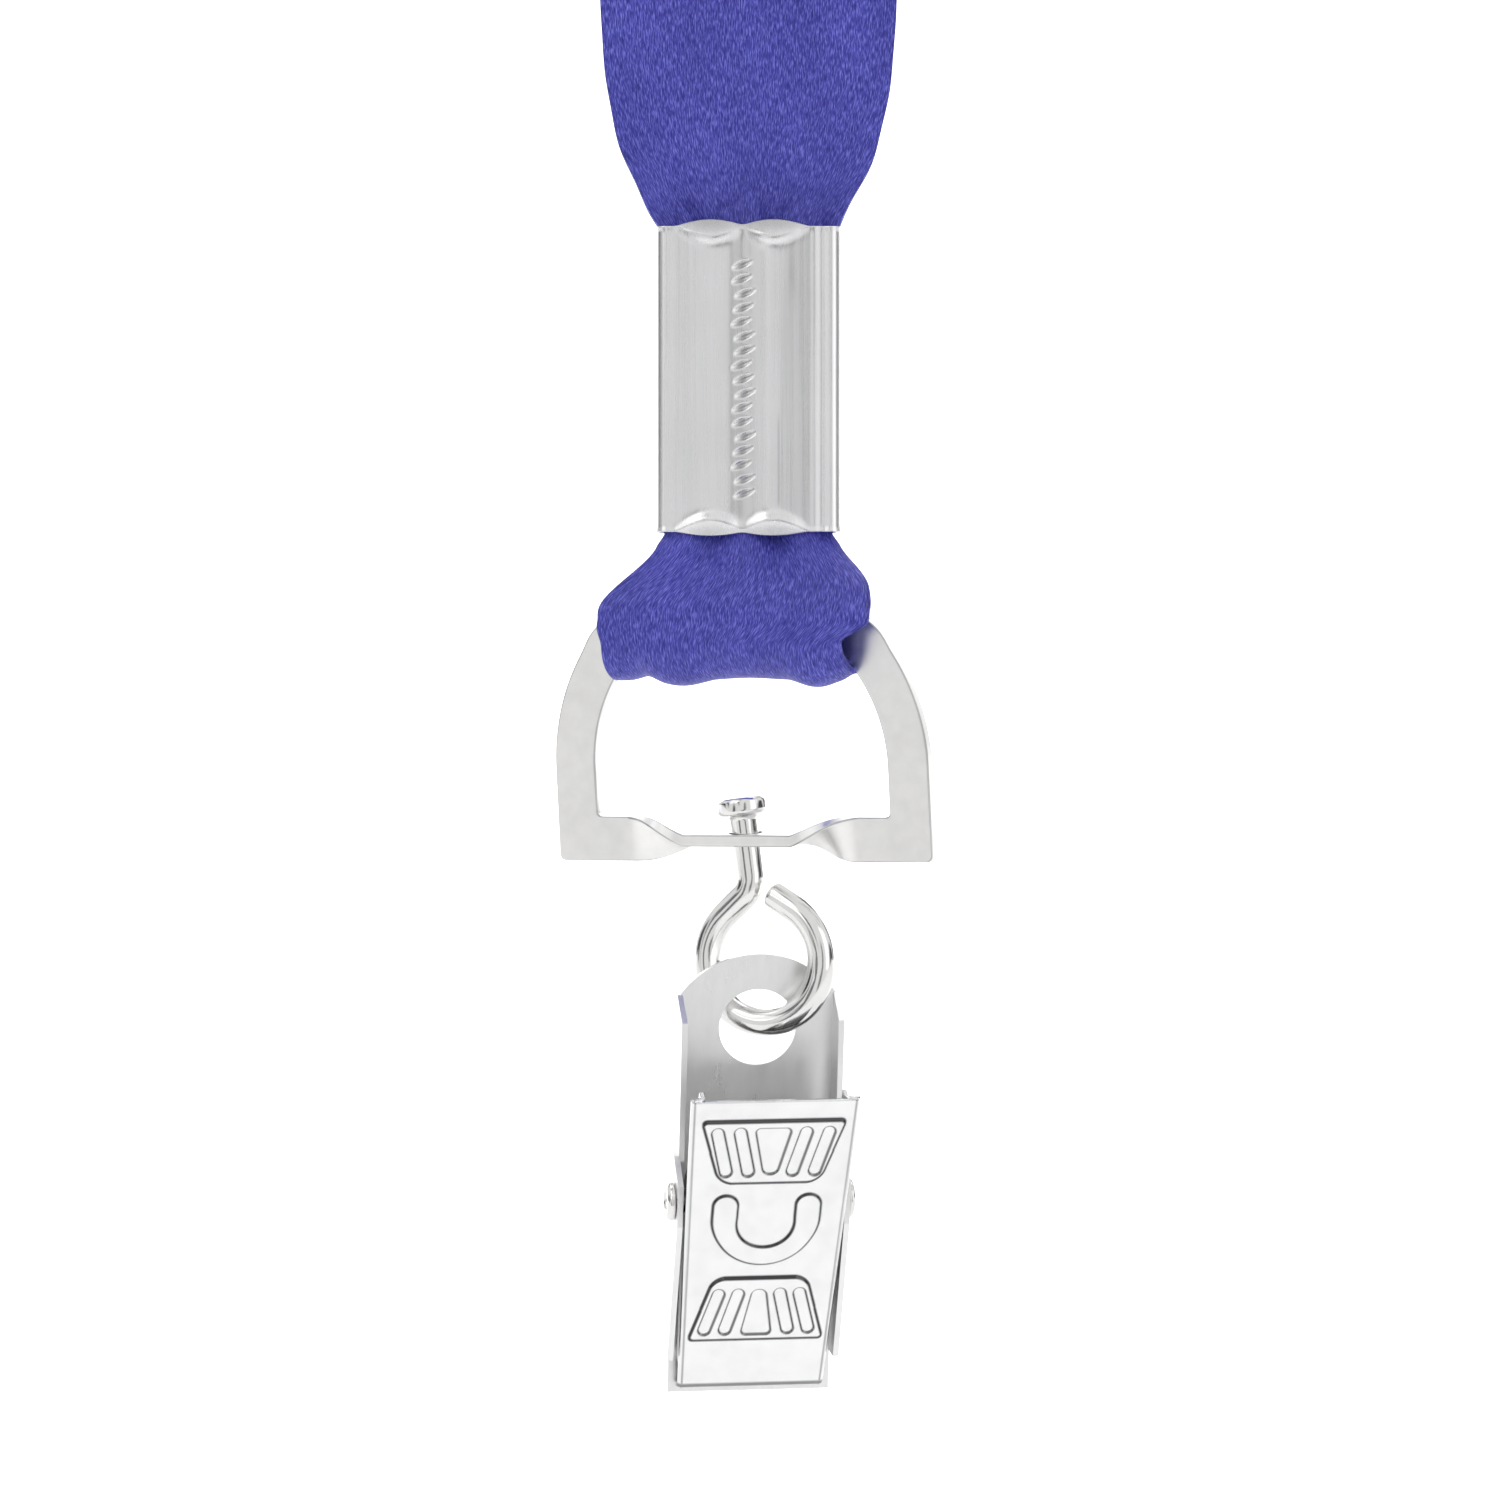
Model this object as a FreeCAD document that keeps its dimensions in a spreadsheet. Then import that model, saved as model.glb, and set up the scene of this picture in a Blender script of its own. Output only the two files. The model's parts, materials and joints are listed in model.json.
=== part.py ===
import FreeCAD, Part
import math
import os
import Sketcher

# Lanyard badge holder: a satin neck ribbon, gathered into a metal crimp, carries a stirrup on its folded ends.
# A headed wire swivels in the stirrup, and a sprung badge clip hangs from the wire's eye.
# Frame: +X right, +Y away from the front, +Z up, origin where the neck loop hangs.

DIMENSIONS = {
    # ribbon
    "ribbon_width": 20.0,
    "ribbon_thickness": 0.45,
    "ply_gap": 0.05,
    "strand_offset": 0.6,
    # crimp
    "crimp_top": -390.3,
    "crimp_height": 20.3,
    "crimp_width": 12.26,
    "crimp_depth": 5.0,
    "crimp_wall": 0.4,
    "crimp_corner": 1.4,
    "crimp_hollow_corner": 0.3,
    "crimped_ply": 1.0,
    "crimped_gap": 0.02,
    "crimped_width": 11.0,
    # folded ends of the ribbon round the stirrup's bar
    "fold_drop": 7.2,
    "fold_cavity": 1.75,
    "fold_width": 16.6,
    "fold_top_width": 11.4,
    "fold_shoulder": 1.2,
    "mouth_gap": 0.3,
    # stirrup
    "plate": 0.8,
    "arm": 3.0,
    "arch_radius": 13.95,
    "arch_drop": 8.5,
    "bar_height": 3.0,
    "stirrup_drop": 14.8,
    "stub_reach": 8.6,
    "flat_reach": 4.0,
    "pin_hole": 1.15,
    "cut_margin": 0.1,
    # headed wire
    "wire": 0.95,
    "head_radius": 1.75,
    "head_height": 1.2,
    "head_lift": 1.6,
    "eye_radius": 4.15,
    "eye_side": 0.25,
    "eye_drop": 8.2,
    "eye_entry_angle": 125.0,
    "eye_exit_angle": 52.0,
    "neck_bend": 1.7,
    "tail": 1.9,
    # clip
    "sheet": 0.4,
    "back_half": 5.5,
    "ear_half": 5.85,
    "back_top": 5.0,
    "back_arch": 6.55,
    "shoulder": 2.3,
    "back_bottom": -25.3,
    "clip_hole": 2.6,
    "back_flange": 2.2,
    "flange_slope": 1.4,
    "flange_lap": 0.4,
    "ear_top": -8.2,
    "ear_bottom": -22.6,
    "ear_reach": 4.2,
    "ear_foot": 1.6,
    "ear_land": 1.4,
    "pivot_height": -11.2,
    "pivot_reach": 2.6,
    "rivet": 0.8,
    "rivet_head": 1.35,
    "rivet_head_height": 0.55,
    "rivet_play": 0.03,
    "ear_hole": 0.82,
    "lever_hole": 0.86,
    "lever_face": 2.4,
    "lever_top": 9.2,
    "lever_bottom": -13.8,
    "lever_half_top": 5.3,
    "lever_half_bottom": 4.95,
    "lip": 0.68,
    "lever_notch": 2.0,
    "lever_flange_foot": 0.9,
    "lever_flange_tip": 1.2,
    "lever_ear_depth": 1.25,
    "lever_ear_low": -1.6,
    "lever_ear_high": 1.2,
    "lever_neck_depth": 0.6,
    "lever_neck_height": 4.4,
    "spring_wire": 0.25,
    "coil_radius": 1.3,
    "coil_pitch": 0.56,
    "leg_length": 5.4,
    "leg_play": 0.05,
}
COIL_TURNS = 5

# Neck loop: (Y, Z) points of its front half, from the crimp up to the top, in the plane across the ribbon
NECK_HALF_ROUTE = (
    (-0.6, -390.3),
    (-2.4, -363.0),
    (-9.8, -312.0),
    (-30.8, -223.0),
    (-56.6, -134.0),
    (-77.5, -68.5),
    (-62.0, -25.5),
    (-23.5, 0.0),
)

# Rest pose: turns in degrees, places in millimetres
STIRRUP_YAW = -27.0
STIRRUP_PITCH = 6.0
STIRRUP_SIDE = -0.8
HOOK_YAW = -24.0
HOOK_ROLL = -7.0
CLIP_YAW = 10.0
CLIP_PITCH = 13.0
CLIP_ROLL = -0.8
CLIP_HOLE_AT = (0.6, 1.35, -443.6)
LEVER_ANGLE = 17.5

X_AXIS = FreeCAD.Vector(1, 0, 0)
Y_AXIS = FreeCAD.Vector(0, 1, 0)
Z_AXIS = FreeCAD.Vector(0, 0, 1)
SKETCH_TURNS = {
    "x": FreeCAD.Rotation(FreeCAD.Vector(1, 1, 1), 120),
    "y": FreeCAD.Rotation(X_AXIS, 90),
    "z": FreeCAD.Rotation(),
}
SKETCH_NORMALS = {"x": X_AXIS, "y": FreeCAD.Vector(0, -1, 0), "z": Z_AXIS}
CYLINDER_TURNS = {
    "x": FreeCAD.Rotation(Y_AXIS, 90),
    "y": FreeCAD.Rotation(X_AXIS, -90),
    "z": FreeCAD.Rotation(),
}

doc = FreeCAD.newDocument("LanyardBadgeHolder")
sheet = doc.addObject("Spreadsheet::Sheet", "Sizes")
for row, (alias, value) in enumerate(DIMENSIONS.items(), start=1):
    sheet.set(f"A{row}", alias)
    sheet.set(f"B{row}", str(value))
    sheet.setAlias(f"B{row}", alias)
doc.recompute()


def size(alias):
    """A driving dimension, read from the sheet."""
    return float(getattr(sheet, alias))


def bind(item, prop, formula):
    """Bind a property to a formula in which $name stands for a cell."""
    item.setExpression(prop, str(formula).replace("$", "Sizes."))


def box(name, x, y, z):
    """A block between low and high formulas along each axis."""
    item = doc.addObject("Part::Box", name)
    for prop, letter, (low, high) in (("Length", "x", x), ("Width", "y", y), ("Height", "z", z)):
        bind(item, prop, f"({high}) - ({low})")
        bind(item, f"Placement.Base.{letter}", low)
    return item


def cylinder(name, radius, axis, low, high, centre=("0", "0")):
    """A round bar along an axis, from low to high, centred on the other two coordinates in order."""
    item = doc.addObject("Part::Cylinder", name)
    bind(item, "Radius", radius)
    bind(item, "Height", f"({high}) - ({low})")
    item.Placement = FreeCAD.Placement(FreeCAD.Vector(), CYLINDER_TURNS[axis])
    others = [letter for letter in "xyz" if letter != axis]
    bind(item, f"Placement.Base.{axis}", low)
    for letter, formula in zip(others, centre):
        bind(item, f"Placement.Base.{letter}", formula)
    return item


def outline(name, axis, points, low, high):
    """A flat plate: a closed outline of (across, up) formulas, extruded along an axis from low to high."""
    sketch = doc.addObject("Sketcher::SketchObject", name + "_outline")
    sketch.Placement = FreeCAD.Placement(FreeCAD.Vector(), SKETCH_TURNS[axis])
    count = len(points)
    spots = [FreeCAD.Vector(math.cos(6.283 * i / count), math.sin(6.283 * i / count), 0) for i in range(count)]
    for i in range(count):
        sketch.addGeometry(Part.LineSegment(spots[i], spots[(i + 1) % count]), False)
    for i in range(count):
        sketch.addConstraint(Sketcher.Constraint("Coincident", i, 2, (i + 1) % count, 1))
    for i, (across, up) in enumerate(points):
        for kind, formula, spot in (("DistanceX", across, spots[i].x), ("DistanceY", up, spots[i].y)):
            index = sketch.addConstraint(Sketcher.Constraint(kind, -1, 1, i, 1, spot))
            bind(sketch, f"Constraints[{index}]", formula)
    plate = doc.addObject("Part::Extrusion", name)
    plate.Base = sketch
    plate.DirMode = "Custom"
    plate.Dir = SKETCH_NORMALS[axis]
    plate.Solid = True
    bind(plate, "LengthFwd", f"({high}) - ({low})")
    if axis == "y":
        bind(sketch, "Placement.Base.y", high)
    else:
        bind(sketch, f"Placement.Base.{axis}", low)
    return plate


def fuse(name, shapes):
    item = doc.addObject("Part::MultiFuse", name)
    item.Shapes = shapes
    return item


def cut(name, base, tool):
    item = doc.addObject("Part::Cut", name)
    item.Base = base
    item.Tool = tool
    return item


def common(name, shapes):
    item = doc.addObject("Part::MultiCommon", name)
    item.Shapes = shapes
    return item


def tangent_path(points):
    """Straight runs joined by the largest tangent arcs that 0.45 of the shorter run allows."""
    edges = []
    radii = []
    start = points[0]
    for before, corner, after in zip(points, points[1:], points[2:]):
        towards = (before - corner).normalize()
        onwards = (after - corner).normalize()
        half_turn = (math.pi - towards.getAngle(onwards)) / 2
        trim = 0.45 * min((before - corner).Length, (after - corner).Length)
        radius = trim / math.tan(half_turn)
        radii.append(radius)
        enter = corner + towards * trim
        leave = corner + onwards * trim
        inwards = (towards + onwards).normalize()
        middle = corner + inwards * (radius / math.cos(half_turn) - radius)
        edges.append(Part.LineSegment(start, enter).toShape())
        edges.append(Part.Arc(enter, middle, leave).toShape())
        start = leave
    edges.append(Part.LineSegment(start, points[-1]).toShape())
    return Part.Wire(edges), radii


def make_neck_loop():
    front = [FreeCAD.Vector(0, y, z) for y, z in NECK_HALF_ROUTE]
    back = [FreeCAD.Vector(0, -y, z) for y, z in reversed(NECK_HALF_ROUTE)]
    path, radii = tangent_path(front + back)
    half_width = size("ribbon_width") / 2
    half_thick = size("ribbon_thickness") / 2
    start = front[0]
    corners = []
    for side, face in ((-1, -1), (1, -1), (1, 1), (-1, 1), (-1, -1)):
        corners.append(start + FreeCAD.Vector(side * half_width, 0, 0) + face * half_thick * Y_AXIS)
    section = Part.makePolygon(corners)
    direction = (front[1] - front[0]).normalize()
    section.rotate(start, X_AXIS, math.degrees(math.atan2(-direction.y, direction.z)))
    ribbon = path.makePipeShell([section], True, False)
    area = size("ribbon_width") * size("ribbon_thickness")
    print("neck loop radii mm", [round(radius, 1) for radius in radii])
    print("neck loop length mm", round(path.Length, 1))
    print("neck loop volume over section times length", round(ribbon.Volume / (area * path.Length), 4))
    item = doc.addObject("Part::Feature", "strap_neck_loop")
    item.Shape = ribbon
    return item


def make_crimped_plies():
    """The two strands and the two returning ends, pressed flat inside the crimp."""
    plies = []
    pitch = "($crimped_ply + $crimped_gap)"
    for index in range(4):
        low = f"({index} - 2) * {pitch} + $crimped_gap / 2"
        plies.append(
            box(
                f"crimped_ply_{index}",
                ("-$crimped_width / 2", "$crimped_width / 2"),
                (low, f"{low} + $crimped_ply"),
                ("$crimp_top - $crimp_height", "$crimp_top"),
            )
        )
    group = doc.addObject("Part::Compound", "strap_crimped_plies")
    group.Links = plies
    return group


def round_upright_edges(name, block, corner):
    doc.recompute()
    rounded = doc.addObject("Part::Fillet", name)
    rounded.Base = block
    upright = []
    for number, edge in enumerate(block.Shape.Edges, start=1):
        if abs(edge.tangentAt(edge.FirstParameter).z) > 0.9:
            upright.append((number, corner, corner))
    rounded.Edges = upright
    return rounded


def make_crimp():
    """A flattened tube; its corners are round."""
    low = "$crimp_top - $crimp_height"
    blank = box(
        "crimp_blank",
        ("-$crimp_width / 2", "$crimp_width / 2"),
        ("-$crimp_depth / 2", "$crimp_depth / 2"),
        (low, "$crimp_top"),
    )
    bore = box(
        "crimp_inside",
        ("$crimp_wall - $crimp_width / 2", "$crimp_width / 2 - $crimp_wall"),
        ("$crimp_wall - $crimp_depth / 2", "$crimp_depth / 2 - $crimp_wall"),
        (f"{low} - $cut_margin", "$crimp_top + $cut_margin"),
    )
    outside = round_upright_edges("crimp_outside", blank, size("crimp_corner"))
    hollow = round_upright_edges("crimp_hollow", bore, size("crimp_hollow_corner"))
    return cut("crimp_ferrule", outside, hollow)


def fold_mass(name, radius):
    """The space inside a radius round the bar, open straight up to the crimp's mouth."""
    along = ("-$fold_width / 2", "$fold_width / 2")
    round_part = cylinder(name + "_round", radius, "x", *along)
    legs = box(name + "_legs", along, (f"-({radius})", radius), ("0", "$fold_drop - $mouth_gap"))
    return fuse(name, [round_part, legs])


def make_fold(name, inner):
    """One ply of the ribbon's end folded under the stirrup's bar, narrower where the crimp gathers it."""
    outer = f"{inner} + $ribbon_thickness"
    solid = fold_mass(name + "_solid", outer)
    hollow = fold_mass(name + "_hollow", inner)
    ply = cut(name + "_ply", solid, hollow)
    below = f"-({outer})"
    taper = outline(
        name + "_taper",
        "y",
        (
            ("-$fold_width / 2", below),
            ("$fold_width / 2", below),
            ("$fold_width / 2", "$fold_shoulder"),
            ("$fold_top_width / 2", "$fold_drop"),
            ("-$fold_top_width / 2", "$fold_drop"),
            ("-$fold_width / 2", "$fold_shoulder"),
        ),
        below,
        outer,
    )
    return common(name, [ply, taper])


def arch(name, radius, top, bottom, half_width):
    """A stirrup-shaped mass: straight sides, a round shoulder and a flat top."""
    thick = ("-$plate", "$plate")
    crown = cylinder(name + "_crown", radius, "y", *thick, centre=("0", "-$arch_drop"))
    legs = box(name + "_legs", (f"-({half_width})", half_width), thick, (bottom, "-$arch_drop"))
    body = fuse(name + "_body", [crown, legs])
    limit = box(name + "_limit", (f"-({half_width})", half_width), thick, (bottom, top))
    return common(name, [body, limit])


def make_twist(side):
    """A quarter twist of the bottom bar, from its upright stub to its level middle, upper edge forwards."""
    steps = 6
    sections = []
    half_height = size("bar_height") / 2
    half_plate = size("plate") / 2
    for step in range(steps + 1):
        share = step / steps
        reach = size("flat_reach") + (size("stub_reach") - size("flat_reach")) * share
        turn = -math.radians(90 * (1 - share))
        corners = []
        for up, out in ((1, 1), (1, -1), (-1, -1), (-1, 1), (1, 1)):
            height = up * half_height * math.cos(turn) - out * half_plate * math.sin(turn)
            depth = up * half_height * math.sin(turn) + out * half_plate * math.cos(turn)
            corners.append(FreeCAD.Vector(side * reach, depth, height + bar_level()))
        sections.append(Part.makePolygon(corners))
    item = doc.addObject("Part::Feature", "bar_twist_left" if side < 0 else "bar_twist_right")
    item.Shape = Part.makeLoft(sections, True, False)
    return item


def bar_level():
    """Height of the bottom bar's middle line below the top bar's axis."""
    return size("bar_height") / 2 - size("stirrup_drop")


def make_stirrup():
    inner_radius = "$arch_radius - $arm"
    level = "($bar_height / 2 - $stirrup_drop)"
    outside = arch("stirrup_outside", "$arch_radius", "$bar_height / 2", "-$stirrup_drop", "$arch_radius")
    window = arch("stirrup_window", inner_radius, "-$bar_height / 2", "$bar_height - $stirrup_drop", inner_radius)
    gap = box(
        "stirrup_gap",
        ("-$stub_reach", "$stub_reach"),
        ("-$plate", "$plate"),
        ("-$stirrup_drop - $cut_margin", "$bar_height - $stirrup_drop + $cut_margin"),
    )
    slab = cut("stirrup_slab", outside, fuse("stirrup_openings", [window, gap]))
    skin = box(
        "stirrup_thickness",
        ("-$arch_radius", "$arch_radius"),
        ("-$plate / 2", "$plate / 2"),
        ("-$stirrup_drop", "$bar_height"),
    )
    blank = common("stirrup_blank", [slab, skin])
    flat = box(
        "bar_flat",
        ("-$flat_reach", "$flat_reach"),
        ("-$bar_height / 2", "$bar_height / 2"),
        (f"{level} - $plate / 2", f"{level} + $plate / 2"),
    )
    whole = fuse("stirrup_whole", [blank, flat, make_twist(-1), make_twist(1)])
    hole = cylinder("stirrup_pin_hole", "$pin_hole", "z", f"{level} - $plate", f"{level} + $plate")
    return cut("stirrup", whole, hole)


def make_hook():
    """Headed wire: a straight shank, a bend, and an open eye with a short straight tail."""
    centre = FreeCAD.Vector(size("eye_side"), 0, -size("eye_drop"))
    radius = size("eye_radius")

    def on_eye(degrees):
        turn = math.radians(degrees)
        return centre + FreeCAD.Vector(radius * math.cos(turn), 0, radius * math.sin(turn))

    entry = size("eye_entry_angle")
    leave = size("eye_exit_angle")
    touch = on_eye(entry)
    slope = math.radians(entry - 90)
    corner = FreeCAD.Vector(0, 0, touch.z - touch.x * math.tan(slope))
    turn = math.pi / 2 - slope
    trim = size("neck_bend") * math.tan(turn / 2)
    down = corner + Z_AXIS * trim
    along = corner + (touch - corner).normalize() * trim
    inwards = ((Z_AXIS + (touch - corner).normalize())).normalize()
    middle = corner + inwards * (size("neck_bend") / math.cos(turn / 2) - size("neck_bend"))
    finish = on_eye(leave)
    tail_turn = math.radians(leave + 90)
    tip = finish + FreeCAD.Vector(math.cos(tail_turn), 0, math.sin(tail_turn)) * size("tail")
    start = Z_AXIS * (size("head_lift") + size("head_height") / 2)
    path = Part.Wire(
        [
            Part.LineSegment(start, down).toShape(),
            Part.Arc(down, middle, along).toShape(),
            Part.LineSegment(along, touch).toShape(),
            Part.Arc(touch, on_eye((entry + 270) / 2), on_eye(270)).toShape(),
            Part.Arc(on_eye(270), on_eye((270 + leave + 360) / 2), finish).toShape(),
            Part.LineSegment(finish, tip).toShape(),
        ]
    )
    section = Part.Wire([Part.makeCircle(size("wire"), start, Z_AXIS)])
    wire = doc.addObject("Part::Feature", "hook_bent_wire")
    wire.Shape = path.makePipeShell([section], True, False)
    area = math.pi * size("wire") ** 2
    print("hook volume over section times length", round(wire.Shape.Volume / (area * path.Length), 4))
    head = cylinder("hook_head", "$head_radius", "z", "$head_lift", "$head_lift + $head_height")
    return fuse("hook_wire", [wire, head])


def wall_spans(half_width):
    """Low and high formulas of the left and right side walls that end at a half width."""
    yield "left", f"-{half_width}", f"$sheet - {half_width}"
    yield "right", f"{half_width} - $sheet", half_width


def make_clip_back():
    """Back plate: a round-topped face with a hole, side flanges, and wider ears that hold the rivet."""
    thick = ("0", "$sheet")
    pieces = [
        box("back_face", ("-$back_half", "$back_half"), thick, ("$back_bottom", "$shoulder")),
        box("back_ear_face", ("-$ear_half", "$ear_half"), thick, ("$ear_bottom", "$ear_top")),
        common(
            "back_arch_face",
            [
                cylinder("back_arch_disc", "$back_arch", "y", *thick, centre=("0", "$back_top - $back_arch")),
                box("back_arch_limit", ("-$back_half", "$back_half"), thick, ("$shoulder - $sheet", "$back_top")),
            ],
        ),
    ]
    for label, low, high in wall_spans("$back_half"):
        pieces.append(
            outline(
                f"back_flange_{label}",
                "x",
                (
                    ("$sheet", "$shoulder"),
                    ("0", "$shoulder"),
                    ("-$back_flange", "$shoulder - $flange_slope"),
                    ("-$back_flange", "$ear_top - $flange_lap"),
                    ("$sheet", "$ear_top - $flange_lap"),
                ),
                low,
                high,
            )
        )
    for label, low, high in wall_spans("$ear_half"):
        pieces.append(
            outline(
                f"back_ear_{label}",
                "x",
                (
                    ("$sheet", "$ear_top"),
                    ("-$back_flange", "$ear_top"),
                    ("-$ear_reach", "$pivot_height + $ear_land"),
                    ("-$ear_reach", "$pivot_height - $ear_land"),
                    ("-$ear_foot", "$ear_bottom"),
                    ("$sheet", "$ear_bottom"),
                ),
                low,
                high,
            )
        )
    whole = fuse("back_whole", pieces)
    holes = fuse(
        "back_holes",
        [
            cylinder("back_clip_hole", "$clip_hole", "y", "-$sheet", "2 * $sheet"),
            cylinder(
                "back_ear_hole",
                "$ear_hole",
                "x",
                "-$ear_half - $cut_margin",
                "$ear_half + $cut_margin",
                centre=("-$pivot_reach", "$pivot_height"),
            ),
        ],
    )
    return cut("clip_back_plate", whole, holes)


def make_rivet():
    pivot = ("-$pivot_reach", "$pivot_height")
    outside = "($ear_half + $rivet_play)"
    head = "$rivet_head_height"
    return fuse(
        "pivot_rivet",
        [
            cylinder("rivet_shank", "$rivet", "x", f"-{outside} - {head}", f"{outside} + {head}", centre=pivot),
            cylinder("rivet_head_left", "$rivet_head", "x", f"-{outside} - {head}", f"-{outside}", centre=pivot),
            cylinder("rivet_head_right", "$rivet_head", "x", outside, f"{outside} + {head}", centre=pivot),
        ],
    )


def spring_leg(name, across, depth_low, depth_high):
    """A straight spring leg beside the coil, from the coil's side up towards the lever ends."""
    leg = doc.addObject("Part::Cylinder", name)
    bind(leg, "Radius", "$spring_wire")
    bind(leg, "Height", "$leg_length")
    lean = math.degrees(math.atan2(depth_high - depth_low, size("leg_length")))
    leg.Placement = FreeCAD.Placement(FreeCAD.Vector(across, depth_low, 0), FreeCAD.Rotation(X_AXIS, -lean))
    return leg


def make_spring_coil():
    """Coil and rear leg, about the pivot; the rear leg bears on the back plate."""
    pitch = size("coil_pitch")
    rings = []
    for index in range(COIL_TURNS):
        ring = doc.addObject("Part::Torus", f"coil_turn_{index}")
        bind(ring, "Radius1", "$coil_radius")
        bind(ring, "Radius2", "$spring_wire")
        across = (index - (COIL_TURNS - 1) / 2) * pitch
        ring.Placement = FreeCAD.Placement(FreeCAD.Vector(across, 0, 0), CYLINDER_TURNS["x"])
        rings.append(ring)
    across = -(COIL_TURNS - 1) / 2 * pitch
    rest = size("pivot_reach") - size("spring_wire") - size("leg_play")
    leg = spring_leg("spring_rear_leg", across, size("coil_radius"), rest)
    tied = fuse("spring_end_turn", [rings[0], leg])
    group = doc.addObject("Part::Compound", "spring_coil")
    group.Links = [tied] + rings[1:]
    return group


def make_spring_front_leg():
    across = (COIL_TURNS + 1) / 2 * size("coil_pitch")
    rest = size("spring_wire") + size("sheet") + size("leg_play") - size("lever_face")
    return spring_leg("spring_front_leg", across, -size("coil_radius"), rest)


def make_clip_front():
    """Lever plate about the pivot, upright in its own frame; its face is in front of the pivot."""
    face = outline(
        "front_face",
        "y",
        (
            ("-$lever_half_bottom", "$lever_bottom"),
            ("$lever_half_bottom", "$lever_bottom"),
            ("$lever_half_top", "$lever_top"),
            ("-$lever_half_top", "$lever_top"),
        ),
        "-$lever_face",
        "$sheet - $lever_face",
    )
    lip = box(
        "front_lip",
        ("-$lever_half_bottom", "$lever_half_bottom"),
        ("-$lever_face", "$lip - $lever_face"),
        ("$lever_bottom", "$lever_bottom + $sheet"),
    )
    pieces = [face, lip]
    for label, low, high in wall_spans("$lever_half_bottom"):
        pieces.append(
            outline(
                f"front_flange_{label}",
                "x",
                (
                    ("-$lever_face", "$lever_top"),
                    ("-$lever_face", "$lever_bottom + $lever_notch"),
                    ("-$lever_face + $lever_flange_foot", "$lever_bottom + $lever_notch"),
                    ("$lever_ear_depth", "$lever_ear_low"),
                    ("$lever_ear_depth", "$lever_ear_high"),
                    ("-$lever_neck_depth", "$lever_neck_height"),
                    ("-$lever_face + $lever_flange_tip", "$lever_top"),
                ),
                low,
                high,
            )
        )
    whole = fuse("front_whole", pieces)
    hole = cylinder("front_pivot_hole", "$lever_hole", "x", "-$ear_half", "$ear_half")
    return cut("clip_front_plate", whole, hole)


def turn(axis, degrees):
    return FreeCAD.Rotation(axis, degrees)


def place(item, base, rotation):
    item.Placement = FreeCAD.Placement(FreeCAD.Vector(*base), rotation).multiply(item.Placement)


bar_height_in_row = size("crimp_top") - size("crimp_height") - size("fold_drop")
bar_at = FreeCAD.Vector(STIRRUP_SIDE, 0, bar_height_in_row)
stirrup_turn = turn(Z_AXIS, STIRRUP_YAW).multiply(turn(X_AXIS, STIRRUP_PITCH))
pin_at = bar_at + stirrup_turn.multVec(FreeCAD.Vector(0, 0, bar_level()))
hook_turn = turn(Y_AXIS, HOOK_ROLL).multiply(turn(Z_AXIS, HOOK_YAW))
clip_turn = turn(Y_AXIS, CLIP_ROLL).multiply(turn(Z_AXIS, CLIP_YAW)).multiply(turn(X_AXIS, CLIP_PITCH))
pivot_in_clip = FreeCAD.Vector(0, -size("pivot_reach"), size("pivot_height"))
pivot_at = FreeCAD.Vector(*CLIP_HOLE_AT) + clip_turn.multVec(pivot_in_clip)
lever_turn = clip_turn.multiply(turn(X_AXIS, LEVER_ANGLE))

still = FreeCAD.Rotation()
parts = {
    "strap_neck_loop": (make_neck_loop(), (0, 0, 0), still),
    "strap_crimped_plies": (make_crimped_plies(), (0, 0, 0), still),
    "crimp_ferrule": (make_crimp(), (0, 0, 0), still),
    "strap_inner_fold": (make_fold("strap_inner_fold", "$fold_cavity"), bar_at, turn(Z_AXIS, STIRRUP_YAW)),
    "strap_outer_fold": (
        make_fold("strap_outer_fold", "$fold_cavity + $ribbon_thickness + $ply_gap"),
        bar_at,
        turn(Z_AXIS, STIRRUP_YAW),
    ),
    "stirrup": (make_stirrup(), bar_at, stirrup_turn),
    "hook_wire": (make_hook(), pin_at, hook_turn),
    "clip_back_plate": (make_clip_back(), CLIP_HOLE_AT, clip_turn),
    "pivot_rivet": (make_rivet(), CLIP_HOLE_AT, clip_turn),
    "spring_coil": (make_spring_coil(), pivot_at, clip_turn),
    "spring_front_leg": (make_spring_front_leg(), pivot_at, lever_turn),
    "clip_front_plate": (make_clip_front(), pivot_at, lever_turn),
}
doc.recompute()
for label, (item, base, rotation) in parts.items():
    item.Label = label
    place(item, base, rotation)
doc.recompute()

for item in doc.Objects:
    if "Invalid" in item.State or "Error" in item.State:
        raise RuntimeError(f"{item.Label} is {item.State}")
for label, (item, _, _) in parts.items():
    if item.Shape.isNull() or not item.Shape.isValid():
        raise RuntimeError(f"{label} has no valid shape")

os.makedirs("parts", exist_ok=True)
for label, (item, _, _) in parts.items():
    item.Shape.exportStep(f"parts/{label}.step")
    print(label, "solids", len(item.Shape.Solids), "volume mm3", round(item.Shape.Volume, 2))
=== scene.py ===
import json
import math

import bmesh
import bpy
from mathutils import Matrix, Vector, noise


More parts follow.
